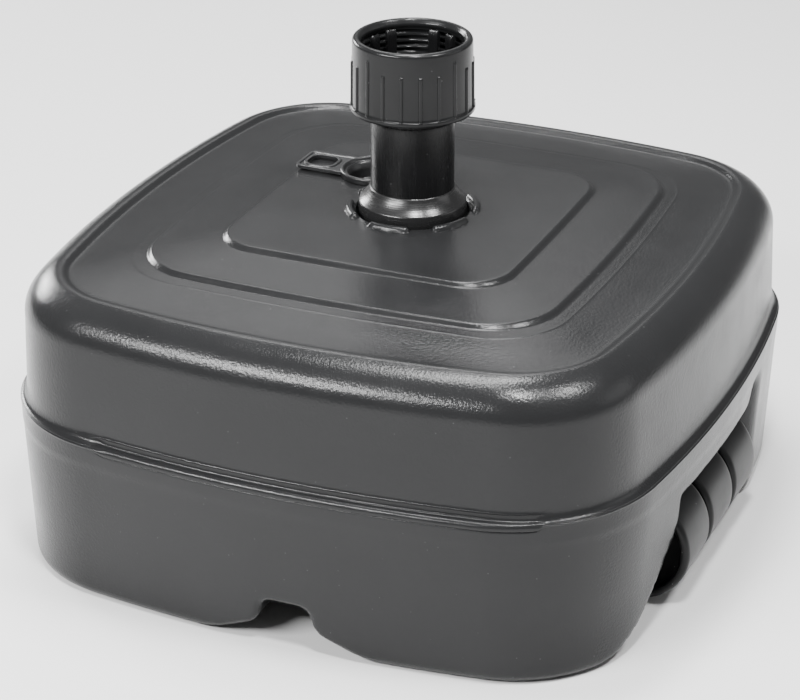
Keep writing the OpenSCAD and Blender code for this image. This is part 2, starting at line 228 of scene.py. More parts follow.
def turned(profile, turn, relief=None):
    """An outline (radius, height) turned round the Z axis, anticlockwise, over the angles in turn.
    An outline that starts and ends on the axis is closed there; any other joins up with itself."""
    on_axis = profile[0][0] == 0
    rows = profile[1:-1] if on_axis else profile
    turn = np.asarray(turn)
    r = np.array([p[0] for p in rows])[:, None] + np.zeros(len(turn))
    z = np.array([p[1] for p in rows])[:, None] + np.zeros(len(turn))
    angle = turn[None, :] + np.zeros(r.shape)
    if relief is not None:
        r, z = relief(angle, r, z)
    points = np.stack([r * np.cos(angle), r * np.sin(angle), z], 2).reshape(-1, 3).tolist()
    count = len(turn)
    faces = grid_quads(len(rows), count, closed_rows=not on_axis).tolist()
    if on_axis:
        last = (len(rows) - 1) * count
        points += [[0, 0, profile[0][1]], [0, 0, profile[-1][1]]]
        low, high = len(points) - 2, len(points) - 1
        for c in range(count):
            d = (c + 1) % count
            faces += [[low, d, c], [last + c, last + d, high]]
    return np.array(points), faces


def even(count):
    """Equal angles all the way round."""
    return np.linspace(0, 2 * np.pi, count, endpoint=False)


def facing(turn, centre):
    """Signed angle from centre, for each angle."""
    return np.angle(np.exp(1j * (turn - centre)))


def lying_along_y(points, x, y, z):
    """Turns a shape made round the Z axis so that its axis lies along +Y through (x, y, z)."""
    return np.stack([points[:, 0] + x, points[:, 2] + y, z - points[:, 1]], 1)


def build(name, points, faces, body, nodes, slot, material, sharp=None):
    """Makes a piece from points in millimetres, which rides on a body and stands for CAD nodes.
    Without a body it is a tool, the floor, or a piece that gets its body later."""
    mesh = bpy.data.meshes.new(name)
    faces = faces.tolist() if isinstance(faces, np.ndarray) else faces
    mesh.from_pydata((np.asarray(points) * MM).tolist(), [], faces)
    mesh.validate()
    mesh.polygons.foreach_set("use_smooth", np.ones(len(mesh.polygons), bool))
    if sharp is not None:
        mesh.set_sharp_from_angle(angle=math.radians(sharp))
    mesh.update()
    piece = bpy.data.objects.new(name, mesh)
    bpy.context.scene.collection.objects.link(piece)
    mesh.materials.append(material)
    if body is not None:
        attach(piece, body)
        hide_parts(*nodes)
    return piece


# ---------------------------------------------------------------- materials

# Sizes in millimetres of what the plastics' patterns show
CLOUD = 55
SPECK_CELL = 9
POLISH = 30
SCRATCH = 1.2
FINE_SCRATCH = 0.8
DENT = 14
DUST = (0.42, 0.42, 0.43)


def plastic(name, colour, roughness, grain, depth, specks=0.0, streaks=None, mottle=0.12, specular=0.5):
    """Moulded plastic. grain is the size of its grain in millimetres and depth the height in millimetres;
    specks are light dust marks, streaks (x, y, z) stretches a second, fine scratch pattern."""
    material = bpy.data.materials.new(name)
    material.use_nodes = True
    tree = material.node_tree
    nodes, links = tree.nodes, tree.links
    shader = nodes["Principled BSDF"]
    shader.inputs["Specular IOR Level"].default_value = specular
    place = nodes.new("ShaderNodeTexCoord").outputs["Object"]

    def noise(scale_mm, detail, rough=0.5, stretch=None):
        node = nodes.new("ShaderNodeTexNoise")
        node.inputs["Scale"].default_value = 1 / (scale_mm * MM)
        node.inputs["Detail"].default_value = detail
        node.inputs["Roughness"].default_value = rough
        source = place
        if stretch is not None:
            mapping = nodes.new("ShaderNodeMapping")
            mapping.inputs["Scale"].default_value = stretch
            links.new(source, mapping.inputs["Vector"])
            source = mapping.outputs["Vector"]
        links.new(source, node.inputs["Vector"])
        return node.outputs["Fac"]

    def remap(value, low, high, out_low, out_high):
        node = nodes.new("ShaderNodeMapRange")
        for key, number in zip(("From Min", "From Max", "To Min", "To Max"), (low, high, out_low, out_high)):
            node.inputs[key].default_value = number
        links.new(value, node.inputs["Value"])
        return node.outputs["Result"]

    def mixed(factor, a, b):
        node = nodes.new("ShaderNodeMix")
        node.data_type = "RGBA"
        links.new(factor, node.inputs["Factor"])
        for key, value in (("A", a), ("B", b)):
            socket = next(s for s in node.inputs if s.name == key and s.type == "RGBA")
            if isinstance(value, tuple):
                socket.default_value = (*value, 1)
            else:
                links.new(value, socket)
        return next(s for s in node.outputs if s.type == "RGBA")

    def math_node(operation, a, b):
        node = nodes.new("ShaderNodeMath")
        node.operation = operation
        for socket, value in zip(node.inputs, (a, b)):
            if isinstance(value, (int, float)):
                socket.default_value = value
            else:
                links.new(value, socket)
        return node.outputs[0]

    dark = tuple(c * (1 - mottle) for c in colour)
    light = tuple(c * (1 + mottle) for c in colour)
    flow = remap(noise(CLOUD, 3), 0.35, 0.65, 0, 1)
    base = mixed(flow, dark, light)
    fine = remap(noise(grain * 1.7, 2), 0.3, 0.7, 0, 1)
    base = mixed(math_node("MULTIPLY", fine, 0.35), base, dark)
    if specks:
        dots = nodes.new("ShaderNodeTexVoronoi")
        dots.inputs["Scale"].default_value = 1 / (SPECK_CELL * MM)
        dots.inputs["Randomness"].default_value = 1
        links.new(place, dots.inputs["Vector"])
        spot = remap(dots.outputs["Distance"], 0.028, 0.05, specks, 0)
        base = mixed(spot, base, DUST)
    links.new(base, shader.inputs["Base Color"])
    polish = remap(noise(POLISH, 4, 0.6), 0.35, 0.65, roughness - 0.035, roughness + 0.035)
    if streaks is not None:
        scratch = noise(SCRATCH, 3, 0.7, streaks)
        polish = math_node("ADD", polish, remap(scratch, 0.45, 0.75, 0, 0.09))
    links.new(polish, shader.inputs["Roughness"])
    relief = nodes.new("ShaderNodeBump")
    relief.inputs["Strength"].default_value = 1
    relief.inputs["Distance"].default_value = MM
    height = math_node("MULTIPLY", noise(grain, 3, 0.55), depth)
    height = math_node("ADD", height, math_node("MULTIPLY", noise(DENT, 2), depth * 0.08))
    if streaks is not None:
        lines = math_node("MULTIPLY", noise(FINE_SCRATCH, 2, 0.6, streaks), depth * 1.2)
        height = math_node("ADD", height, lines)
    links.new(height, relief.inputs["Height"])
    links.new(relief.outputs["Normal"], shader.inputs["Normal"])
    return material


def zinc(name):
    """Zinc-plated steel with a drawn grain along Y."""
    material = plastic(name, (0.55, 0.56, 0.58), 0.32, 0.8, 0.01, streaks=(1, 0.04, 1))
    material.node_tree.nodes["Principled BSDF"].inputs["Metallic"].default_value = 1
    return material


tank_look = plastic("tank_plastic", (0.012, 0.0122, 0.0127), 0.21, 1.7, 0.2, specks=0.12, mottle=0.06,
                    specular=0.22)
tube_look = plastic("tube_plastic", (0.005, 0.005, 0.0053), 0.24, 0.7, 0.03, specks=0.2, streaks=(1, 1, 0.05),
                    specular=0.3)
collar_look = plastic("collar_plastic", (0.010, 0.010, 0.0103), 0.25, 0.7, 0.012, streaks=(0.15, 0.15, 3))
nut_look = plastic("nut_plastic", (0.009, 0.0092, 0.0095), 0.22, 0.9, 0.03, specks=0.2, specular=0.2)
plug_look = plastic("plug_plastic", (0.015, 0.0153, 0.016), 0.32, 0.9, 0.06, specks=0.4, specular=0.4)
roller_look = plastic("roller_plastic", (0.0045, 0.0046, 0.0048), 0.34, 0.9, 0.03, specks=0.3, specular=0.18)
steel_look = zinc("axle_steel")
rubber_look = plastic("seal_rubber", (0.010, 0.010, 0.010), 0.62, 1.1, 0.08)


# ---------------------------------------------------------------- tank

WIDTH = (cad_box[1][0] - cad_box[0][0]) / MM
DEPTH = (cad_box[1][1] - cad_box[0][1]) / MM
ASPECT = DEPTH / WIDTH
HALF = WIDTH / 2
WALL = 4

# Half-width, corner radius and side radius of the outline, by height
WALL_Z = (0, 116, 118, 124.5, 178, 190, 200, 207)
WALL_HALF = (HALF - 7, HALF - 0.3, HALF - 0.3, HALF - 6, HALF - 8, HALF - 10, HALF - 16, HALF - 28)
WALL_CORNER = (90, 105, 105, 89.5, 86, 80, 74, 68)
WALL_SIDE = (981, 976, 976, 908, 905, 905, 905, 905)
# Where the net of the lower tank meets the rings of the upper tank
JOIN_Z = 104
FOOT_ROUND = 8

CHANNEL_X = 9
CHANNEL_HALF = 18
CHANNEL_TOP = 34
CHANNEL_FLARE = 59
CHANNEL_DEEP = 50
CHANNEL_ROUND = 9
CHANNEL_SLOPE = math.atan2(17, 41)
TUNNEL_R = 31
RECESS_R = 62
RECESS_TOP = 40
SEAT_R = 39
SEAT_Z = 208
LID_Z = 219
FILLER = (-49, 47)
FILLER_R = 20

axle_low, axle_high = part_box("roller_axle")
AXLE_X = (axle_low.x + axle_high.x) / 2 / MM
AXLE_Y = (axle_low.y + axle_high.y) / 2 / MM
AXLE_Z = (axle_low.z + axle_high.z) / 2 / MM
AXLE_R = (axle_high.x - axle_low.x) / 2 / MM
roller_low, roller_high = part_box("roller_middle")
ROLLER_R = (roller_high.x - roller_low.x) / 2 / MM
HUB_W = (roller_high.y - roller_low.y) / MM
cap_low, cap_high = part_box("axle_cap_front")
CAP_R = (cap_high.x - cap_low.x) / 2 / MM
washer_low, washer_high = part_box("axle_washers")
POCKET_FRONT = washer_low.y / MM - 0.05
POCKET_REAR = washer_high.y / MM + 0.05
POCKET_X = AXLE_X - ROLLER_R - 6
POCKET_TOP = 88
ARCH_X = AXLE_X - 4
POCKET_DEEP = 100
LUG_T = 14
LUG_Z, LUG_HALF_X, LUG_HALF_Z, LUG_ROUND = 60, 13, 45, 3
AXLE_HALF = (axle_high.y - axle_low.y) / 2 / MM
AXLE_GAP = 0.1
SNAP = 0.5
CAP_START = (POCKET_REAR - POCKET_FRONT) / 2 + LUG_T
CAP_ROOM = 14
CAP_GAP = 1.5
# The wheel opening seen from the side, as (y, z)
ARCH = [(-178, -5), (-175, 3), (-157, 11), (-140, 20), (-125, 33), (-105, 53), (POCKET_FRONT - 4, 62),
        (POCKET_FRONT, 74), (POCKET_FRONT + 2, 82), (POCKET_FRONT + 9, POCKET_TOP),
        (POCKET_REAR, POCKET_TOP), (POCKET_REAR, -5)]


def corner_centre(a, r, s):
    """Where the corner's centre lies on the diagonal, so that the corner runs smoothly into the sides."""
    return (a - s + np.sqrt(2 * (s - r) ** 2 - (s - a) ** 2)) / 2


def outline_distance(x, y, a, r, s):
    """Distance to the bowed square outline of half-width a, corner radius r and side radius s."""
    x, y = np.abs(x), np.abs(y / ASPECT)
    u, v = np.maximum(x, y), np.minimum(x, y)
    c = corner_centre(a, r, s)
    on_side = np.arctan2(v, u - a + s) < np.arctan2(c, c - a + s)
    return np.where(on_side, np.hypot(u - a + s, v) - s, np.hypot(u - c, v - c) - r)


def outline_points(a, r, s, side_steps, corner_steps):
    """The same outline as points, anticlockwise from the front end of the +X side."""
    c = corner_centre(a, r, s)
    t = math.atan2(c, c - a + s)
    side = np.linspace(-t, t, side_steps, endpoint=False)
    corner = np.linspace(t, math.pi / 2 - t, corner_steps, endpoint=False)
    u = np.concatenate([a - s + s * np.cos(side), c + r * np.cos(corner)])
    v = np.concatenate([s * np.sin(side), c + r * np.sin(corner)])
    turns = [(u, v), (-v, u), (-u, -v), (v, -u)]
    return np.concatenate([np.stack([p, q * ASPECT], 1) for p, q in turns])


def channel_distance(x, z):
    """The hand channel's section: a round-cornered slot with flared lower edges."""
    u = np.abs(x - CHANNEL_X)
    slot = box_distance(u, z + CHANNEL_DEEP - CHANNEL_TOP, CHANNEL_HALF, CHANNEL_DEEP, CHANNEL_ROUND)
    flare = (u - CHANNEL_FLARE) * math.sin(CHANNEL_SLOPE) + z * math.cos(CHANNEL_SLOPE)
    return round_or(slot, flare, CHANNEL_ROUND)


def arch_distance(x, y, z):
    """The wheel opening and the pocket behind it."""
    opening = np.maximum(polygon_distance(y, z, ARCH), ARCH_X - x)
    middle, half = (POCKET_FRONT + POCKET_REAR) / 2, (POCKET_REAR - POCKET_FRONT) / 2
    section = box_distance(y - middle, z + POCKET_DEEP - POCKET_TOP, half, POCKET_DEEP, 2)
    pocket = np.maximum(section, POCKET_X - x)
    return np.minimum(opening, pocket)


def lug_distance(x, y, z):
    """The two blocks at the pocket's ends that carry the axle."""
    near = np.minimum(np.abs(y - POCKET_FRONT + LUG_T / 2), np.abs(y - POCKET_REAR - LUG_T / 2))
    section = box_distance(x - AXLE_X, z - LUG_Z, LUG_HALF_X, LUG_HALF_Z, LUG_ROUND)
    return np.maximum(section, near - LUG_T / 2)


def axle_distance(x, y, z):
    """Room for the axle, its caps and the slots that they snap in through."""
    hole = np.hypot(x - AXLE_X, z - AXLE_Z) - AXLE_R - AXLE_GAP
    slot = np.maximum(np.abs(x - AXLE_X) - AXLE_R + SNAP, z - AXLE_Z)
    along = np.abs(y - AXLE_Y) - AXLE_HALF
    cap = np.hypot(x - AXLE_X, np.maximum(z - AXLE_Z, 0)) - CAP_R - CAP_GAP
    inner = CAP_START - np.abs(y - AXLE_Y)
    outer = np.abs(y - AXLE_Y) - CAP_START - CAP_ROOM
    return np.minimum(np.maximum(np.minimum(hole, slot), along), np.maximum(cap, np.maximum(inner, outer)))


def tank_distance(x, y, z):
    """The tank's outer surface, without its lid."""
    a, r, s = (np.interp(z, WALL_Z, row) for row in (WALL_HALF, WALL_CORNER, WALL_SIDE))
    shape = round_and(outline_distance(x, y, a, r, s), -z, FOOT_ROUND)
    near_wall = smooth_step(-40, -16, outline_distance(x, y, a, r, s))
    shape = round_and(shape, -channel_distance(x, z), 2.5 + 1.5 * near_wall)
    wheels = x > POCKET_X - 30
    if wheels.any():
        part = [v[wheels] for v in (x, y, z)]
        lead_in = smooth_step(POCKET_REAR - 24, POCKET_REAR - 6, part[1])
        cut = round_and(shape[wheels], -arch_distance(*part), 2 + 19 * lead_in)
        lugs = np.maximum(lug_distance(*part), shape[wheels])
        cut = np.minimum(cut, lugs)
        shape[wheels] = round_and(cut, -axle_distance(*part), 0.8)
    r = np.hypot(x, y)
    recess = np.maximum(r - RECESS_R, z - RECESS_TOP)
    hole = np.minimum(r - TUNNEL_R, np.maximum(r - SEAT_R, SEAT_Z - z))
    return round_and(shape, -np.minimum(recess, hole), 1.5)


# Half-width, corner radius and side radius of the lid's first step
STEP_OUTLINE = (149.6, 49.0, 1600.0)
NECK_Z = 194


def cavity_distance(x, y, z):
    """The space for the ballast: the tank's outer surface moved in by the wall."""
    inward = outline_distance(x, y, *STEP_OUTLINE)
    top = np.interp(inward, (-60, -46, -4, 0, 6), (213.5, 211, 208, 204.5, 199.5))
    neck = np.maximum(np.hypot(x - FILLER[0], y - FILLER[1]) - FILLER_R - WALL, NECK_Z - z)
    shape = np.maximum(tank_distance(x, y, z) + WALL, z - top)
    return np.maximum(shape, -neck)


# The ledge's section as (inset from the widest line, height). The mould's parting line is at the
# outer edge along the sides and the back, and steps up to the wall's foot along the front.
LEDGE_SIDE = [(0.72, JOIN_Z), (0.5, 110), (0.32, 115), (0.3, 116.8), (0.05, 117.2), (0.0, 117.45),
              (0.05, 117.7), (0.75, 117.95), (1.0, 118.2), (0.95, 118.6), (1.1, 118.9), (1.7, 119.1),
              (2.9, 119.8), (4.3, 121.2), (5.2, 123.0), (5.75, 125.4), (6.0, 129)]
LEDGE_FRONT = [(0.72, JOIN_Z), (0.5, 110), (0.42, 113.4), (0.75, 113.9), (0.3, 114.5), (0.15, 115.3),
               (0.3, 116.5), (0.85, 117.7), (1.9, 118.7), (3.2, 119.1), (4.5, 119.3), (5.35, 120.2),
               (5.75, 122.2), (5.7, 123.7), (5.1, 124.1), (5.85, 124.5), (6.0, 129)]
# Directions in degrees between which the ledge has its front section
JOG_LEFT, JOG_RIGHT = -118.9, -51.1
JOG_BLUR = 0.25
SIDE_STEPS, CORNER_STEPS = 36, 33
CREST_INSET, CREST_Z = 31.9, 207.5
LID_RINGS = 26


def refined(rows):
    """The rows with a Catmull-Rom point between each two."""
    rows = np.array(rows, float)
    padded = np.concatenate([rows[:1], rows, rows[-1:]])
    middle = (-padded[:-3] + 9 * padded[1:-2] + 9 * padded[2:-1] - padded[3:]) / 16
    out = np.empty((len(rows) + len(middle), rows.shape[1]))
    out[0::2], out[1::2] = rows, middle
    return out


def shoulder_rows():
    """The shoulder from the rim's crest out to the wall: tight at the crest, wide across its slope."""
    a, z, tilt = HALF - CREST_INSET, CREST_Z, 0
    rows = [(a, z, 0)]
    # Each stretch of the section, as the slope in degrees at its end and its radius
    for end, radius in ((20, 10), (60, 33), (88, 24)):
        steps = round((end - tilt) / 4)
        for k in range(steps):
            before = math.radians(tilt + (end - tilt) * k / steps)
            after = math.radians(tilt + (end - tilt) * (k + 1) / steps)
            a += radius * (math.sin(after) - math.sin(before))
            z -= radius * (math.cos(before) - math.cos(after))
            rows.append((a, z, (a - HALF + CREST_INSET) / 23.9))
        tilt = end
    return rows


SHOULDER = shoulder_rows()


def tank_rings():
    """Rings of the upper tank from the join up over the lid and down the tunnel to the join."""
    rings = []
    direction = None
    for side, front in zip(refined(LEDGE_SIDE), refined(LEDGE_FRONT)):
        pair = []
        for inset, z in (side, front):
            blend = 0 if z <= 116 else min(1, max(0, inset) / 6)
            r = np.interp(z, (0, 116), (90, 105)) - 15.5 * blend
            s = np.interp(z, (0, 116), (981, 976)) - 68 * blend
            flat = outline_points(HALF - inset, r, s, SIDE_STEPS, CORNER_STEPS)
            pair.append(np.column_stack([flat, np.full(len(flat), z)]))
        if direction is None:
            angle = np.degrees(np.arctan2(pair[0][:, 1], pair[0][:, 0]))
            direction = smooth_step(JOG_LEFT - JOG_BLUR, JOG_LEFT + JOG_BLUR, angle)
            past_right = smooth_step(JOG_RIGHT - JOG_BLUR, JOG_RIGHT + JOG_BLUR, angle)
            direction = (direction * (1 - past_right))[:, None]
        rings.append(pair[0] * (1 - direction) + pair[1] * direction)

    def add(a, z, r, s):
        flat = outline_points(a, r, s, SIDE_STEPS, CORNER_STEPS)
        rings.append(np.column_stack([flat, np.full(len(flat), z)]))

    for z in np.linspace(136, SHOULDER[-1][1] - 5, 7):
        t = (z - 129) / 50
        add(HALF - 6 - 2 * t, z, 89.5 - 3.5 * t, 908 - 3 * t)
    for a, z, t in reversed(SHOULDER):
        add(a, z, 68 + 18 * t, 905)
    for a, z, r, s in refined(LID)[1:]:
        add(a, z, r, s)
    last = rings[-1][:, :2]
    away = last / np.linalg.norm(last, axis=1, keepdims=True)
    inner_r = SEAT_R + 1.2
    for t in np.linspace(0, 1, LID_RINGS + 1)[1:]:
        flat = last * (1 - t) + away * inner_r * t
        rings.append(np.column_stack([flat, np.full(len(flat), LID_Z)]))
    for r, z in [(SEAT_R + 0.35, LID_Z - 0.35), (SEAT_R, LID_Z - 1.2), (SEAT_R, 216), (SEAT_R, SEAT_Z + 1),
                 (SEAT_R - 1, SEAT_Z), (TUNNEL_R + 3, SEAT_Z), (TUNNEL_R + 0.8, SEAT_Z),
                 (TUNNEL_R, SEAT_Z - 0.8), (TUNNEL_R, 190), (TUNNEL_R, 160), (TUNNEL_R, 130),
                 (TUNNEL_R, JOIN_Z)]:
        rings.append(np.column_stack([away * r, np.full(len(away), z)]))
    return rings


# The lid's section as (half-width, height, corner radius, side radius)
LID = [(HALF - CREST_INSET, CREST_Z, 68, 905), (HALF - 33.3, 207.3, 65.5, 905),
       (HALF - 34.8, 206.6, 63.5, 904),
       (HALF - 36.4, 205.4, 60.5, 903), (HALF - 37.8, 204.5, 58.5, 903), (HALF - 39.6, 204.15, 57, 905),
       (190, 204.6, 56.4, 930), (181, 205.6, 55, 1040), (170, 207.2, 53, 1200), (160.2, 208.5, 51.2, 1400),
       (158.7, 208.75, 50.9, 1430), (158.2, 208.9, 50.8, 1440), (157.7, 208.82, 50.7, 1450),
       (153, 209.4, 49.6, 1540), (150.6, 209.6, 49.2, 1590), (149.7, 209.85, 49, 1600),
       (149.0, 210.4, 48.8, 1600), (148.2, 211.3, 48.4, 1600), (147.4, 212.1, 48, 1600),
       (146.6, 212.6, 47.5, 1600), (145.4, 212.8, 46.8, 1610), (142.5, 212.95, 45.5, 1640),
       (138, 213.3, 44, 1700), (127, 214.2, 39, 2300), (113, 215.3, 34, 3000), (106.4, 215.85, 32.3, 3250),
       (105.4, 216.1, 32, 3300), (104.6, 216.7, 31.8, 3300), (103.8, 217.6, 31.4, 3300),
       (103.0, 218.35, 31, 3300), (102.2, 218.8, 30.6, 3300), (101, 218.97, 30, 3300),
       (98, 219.0, 29.5, 3300), (94, 219.0, 29, 3300), (84, 219.0, 31, 3300), (72, 219.0, 34, 3300),
       (62, 219.0, 38, 3300), (55, 219, 40, 3300)]
BUMPS = 6
BUMP_R = 43.6
BUMP_HALF_SPAN = math.radians(16)
BUMP_H = 3.5
BUMP_WIDTH = 3.0
BOSS_R = 26
BOSS_RISE = 0.2


def lid_relief(points):
    """Raises the arcs round the tunnel and the flat seat round the filler hole."""
    x, y, z = points.T
    r = np.hypot(x, y)
    on_lid = (z > LID_Z - 4) & (r > SEAT_R + 0.5)
    from_filler = np.hypot(x - FILLER[0], y - FILLER[1])
    seat = (1 - smooth_step(BOSS_R - 0.6, BOSS_R + 0.6, from_filler)) * (r > SEAT_R + 1.1)
    z = np.where(on_lid, z * (1 - seat) + (LID_Z + BOSS_RISE) * seat, z)
    turn = np.mod(np.arctan2(y, x), 2 * math.pi / BUMPS) - math.pi / BUMPS
    past = BUMP_R * np.maximum(0, np.abs(turn) - BUMP_HALF_SPAN)
    away = np.hypot(r - BUMP_R, past) / BUMP_WIDTH
    fade = smooth_step(BOSS_R - 0.8, BOSS_R + 1.6, from_filler)
    dome = BUMP_H * np.maximum(0, 1 - away ** 2.4) ** 0.62 * fade
    z = z + np.where(on_lid, dome, 0)
    return np.stack([x, y, z], 1)


def open_loops(quads):
    """Closed chains of points along the mesh's open edges, in the faces' own direction."""
    edges = np.concatenate([quads[:, [k, (k + 1) % 4]] for k in range(4)])
    forward = {(a, b) for a, b in edges.tolist()}
    following = {a: b for a, b in forward if (b, a) not in forward}
    loops = []
    while following:
        start, at = following.popitem()
        loop = [start]
        while at != start:
            loop.append(at)
            at = following.pop(at)
        loops.append(loop)
    return loops


def zipped(points, loop, ring):
    """Triangles between an open loop and a ring of points close to it."""
    def angles(indices):
        p = points[indices]
        return np.unwrap(np.arctan2(p[:, 1], p[:, 0]))

    a_turn = angles(loop + loop[:1])
    if a_turn[-1] < a_turn[0]:
        ring = ring[::-1]
    ring_turn = angles(ring)
    gap = np.abs(np.angle(np.exp(1j * (ring_turn - a_turn[0]))))
    first = int(np.argmin(gap))
    ring = ring[first:] + ring[:first]
    sign = 1 if a_turn[-1] > a_turn[0] else -1
    b_turn = angles(ring + ring[:1])
    b_turn += a_turn[0] + np.angle(np.exp(1j * (b_turn[0] - a_turn[0]))) - b_turn[0]
    loop, ring = loop + loop[:1], ring + ring[:1]
    i = j = 0
    faces = []
    while i < len(loop) - 1 or j < len(ring) - 1:
        step_a = i < len(loop) - 1 and (j == len(ring) - 1 or sign * a_turn[i + 1] <= sign * b_turn[j + 1])
        if step_a:
            faces.append([loop[i + 1], loop[i], ring[j]])
            i += 1
        else:
            faces.append([loop[i], ring[j], ring[j + 1]])
            j += 1
    return faces


def change_shape(piece, operation, points, faces):
    """Adds a closed shape to a piece, or takes it out of the piece."""
    tool = build(piece.name + "_tool", points, faces, None, (), None, piece.data.materials[0])
    modifier = piece.modifiers.new("shape", "BOOLEAN")
    modifier.operation = operation
    modifier.solver = "MANIFOLD"
    modifier.object = tool
    with bpy.context.temp_override(object=piece, active_object=piece):
        bpy.ops.object.modifier_apply(modifier=modifier.name)
    bpy.data.objects.remove(tool)


def smooth(piece, sharp):
    """Smooth shading, with edges sharper than that angle in degrees kept."""
    piece.data.polygons.foreach_set("use_smooth", np.ones(len(piece.data.polygons), bool))
    piece.data.set_sharp_from_angle(angle=math.radians(sharp))


def make_tank():
    xs = graded((-237, 2.7), (-220, 7.5), (-54, 2.8), (72, 7.5), (144, 2.4), 237)
    ys = graded((-244, 2.4), (-222, 4.5), (-180, 2.8), (100, 7), (222, 2.5), 244)
    zs = graded((-2.3, 2.25), (43, 5), (80, 2.4), (92, 4), JOIN_Z)
    points, quads = surface_net(tank_distance, xs, ys, zs)
    loops = sorted(open_loops(quads), key=lambda loop: -np.hypot(*points[loop[0], :2]))
    rings = tank_rings()
    count = len(rings[0])
    upper = lid_relief(np.concatenate(rings))
    first = len(points)
    upper_quads = grid_quads(len(rings), count, first)
    points = np.concatenate([points, upper])
    faces = quads.tolist() + upper_quads.tolist()
    outer_ring = list(range(first, first + count))
    inner_ring = list(range(first + (len(rings) - 1) * count, first + len(rings) * count))
    faces += zipped(points, loops[0], outer_ring)
    faces += zipped(points, loops[1], inner_ring)
    tank = build("tank_shell", points, faces, None, (), None, tank_look)
    cavity_step = 9
    lines = [np.arange(low, high, cavity_step) for low, high in ((-240, 241), (-246, 247), (-5, 226))]
    change_shape(tank, "DIFFERENCE", *surface_net(cavity_distance, *lines))
    neck = [(0, 182), (FILLER_R, 182), (FILLER_R, 190), (FILLER_R, 205), (FILLER_R, LID_Z - 0.6),
            (FILLER_R + 1.4, LID_Z + 0.8), (FILLER_R + 1.4, 240), (0, 240)]
    hole, hole_quads = turned(neck, even(96))
    change_shape(tank, "DIFFERENCE", hole + np.array([*FILLER, 0]), hole_quads)
    smooth(tank, 48)
    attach(tank, "base")
    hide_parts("tank")


make_tank()


# ---------------------------------------------------------------- turned parts

TUBE_R = 28.6
BORE_R = 26
TUBE_LOW = 16
TUBE_TOP = 302


def make_tube():
    grooves = []
    for k in range(6):
        z = TUBE_LOW + 2 + 3.5 * k
        grooves += [(TUBE_R, z + 0.1), (TUBE_R, z + 0.9), (TUBE_R - 0.9, z + 1.8), (TUBE_R - 0.9, z + 2.5),
                    (TUBE_R, z + 3.3)]
    path = ([(0, TUBE_LOW), (TUBE_R - 1, TUBE_LOW), (TUBE_R, TUBE_LOW + 1)] + grooves
            + [(TUBE_R, z) for z in np.linspace(42, 284, 40)]
            + [(TUBE_R, 286.4), (TUBE_R + 0.05, 287), (TUBE_R, 287.6), (TUBE_R, TUBE_TOP - 0.8),
               (TUBE_R - 0.25, TUBE_TOP - 0.2), (TUBE_R - 0.8, TUBE_TOP), (BORE_R + 0.8, TUBE_TOP),
               (BORE_R + 0.2, TUBE_TOP - 0.2), (BORE_R, TUBE_TOP - 0.8)]
            + [(BORE_R, z) for z in np.linspace(290, 26, 34)]
            + [(BORE_R, TUBE_LOW + 5), (BORE_R - 1, TUBE_LOW + 4), (0, TUBE_LOW + 4)])

    def drawn(angle, r, z):
        """Faint waviness along the tube, as left by extrusion."""
        wave = 0.025 * np.sin(9 * angle + 1) + 0.018 * np.sin(23 * angle + 0.004 * z)
        return r + np.where(r > BORE_R + 1, wave, 0), z

    build("pole_tube", *turned(path, even(224), drawn), "base", ["upright_tube"], "tube_plastic",
          tube_look, 40)


SEAM = math.radians(-58.5)


def make_collar():
    path = rounded_path([(TUBE_R + 0.1, 208, 0.2), (34.3, 208, 0.6), (35.6, 212, 1.2), (37.0, 216.5, 1.8),
                         (37.4, 221.5, 2.0), (36.9, 226.2, 0.7), (33.4, 229.6, 2.2), (30.6, 233.8, 1.6),
                         (29.6, 236.0, 0.4), (29.1, 236.6, 0.25), (TUBE_R + 0.1, 236.6, 0.15)], 5)
    near = SEAM + np.radians([-2.4, -1.2, -0.75, -0.45, -0.22, 0, 0.22, 0.45, 0.75, 1.2, 2.4])
    turn = np.sort(np.concatenate([SEAM + np.radians(np.arange(4, 357, 2)), near]))

    def seam(angle, r, z):
        off = np.degrees(facing(angle, SEAM))
        groove = 0.13 * np.exp(-(off / 0.38) ** 2) + 0.05 * np.exp(-((off - 0.9) / 0.5) ** 2)
        lines = 0.018 * np.sin(z * 5.1) * smooth_step(221, 223, z) * (r > TUBE_R + 0.6)
        return r - np.where(r > TUBE_R + 0.4, groove, 0) + lines, z

    build("seat_collar_ring", *turned(divided(path, 0.5), turn, seam), "base", ["seat_collar"],
          "collar_plastic", collar_look, 35)


NUT_Z = 292.5
NUT_R = 40.8
NUT_H = 50.7
PITCH = 4.5
RIBS = 20
RIB_TURN = math.radians(-24)
LONG_RIBS = 4
LONG_RIB_DROP, SHORT_RIB_DROP = 8.5, 16
THREAD_R = 35.6
THREAD_LOW, THREAD_HIGH = 7.6, 43.9
THREAD_DEPTH = 1.35


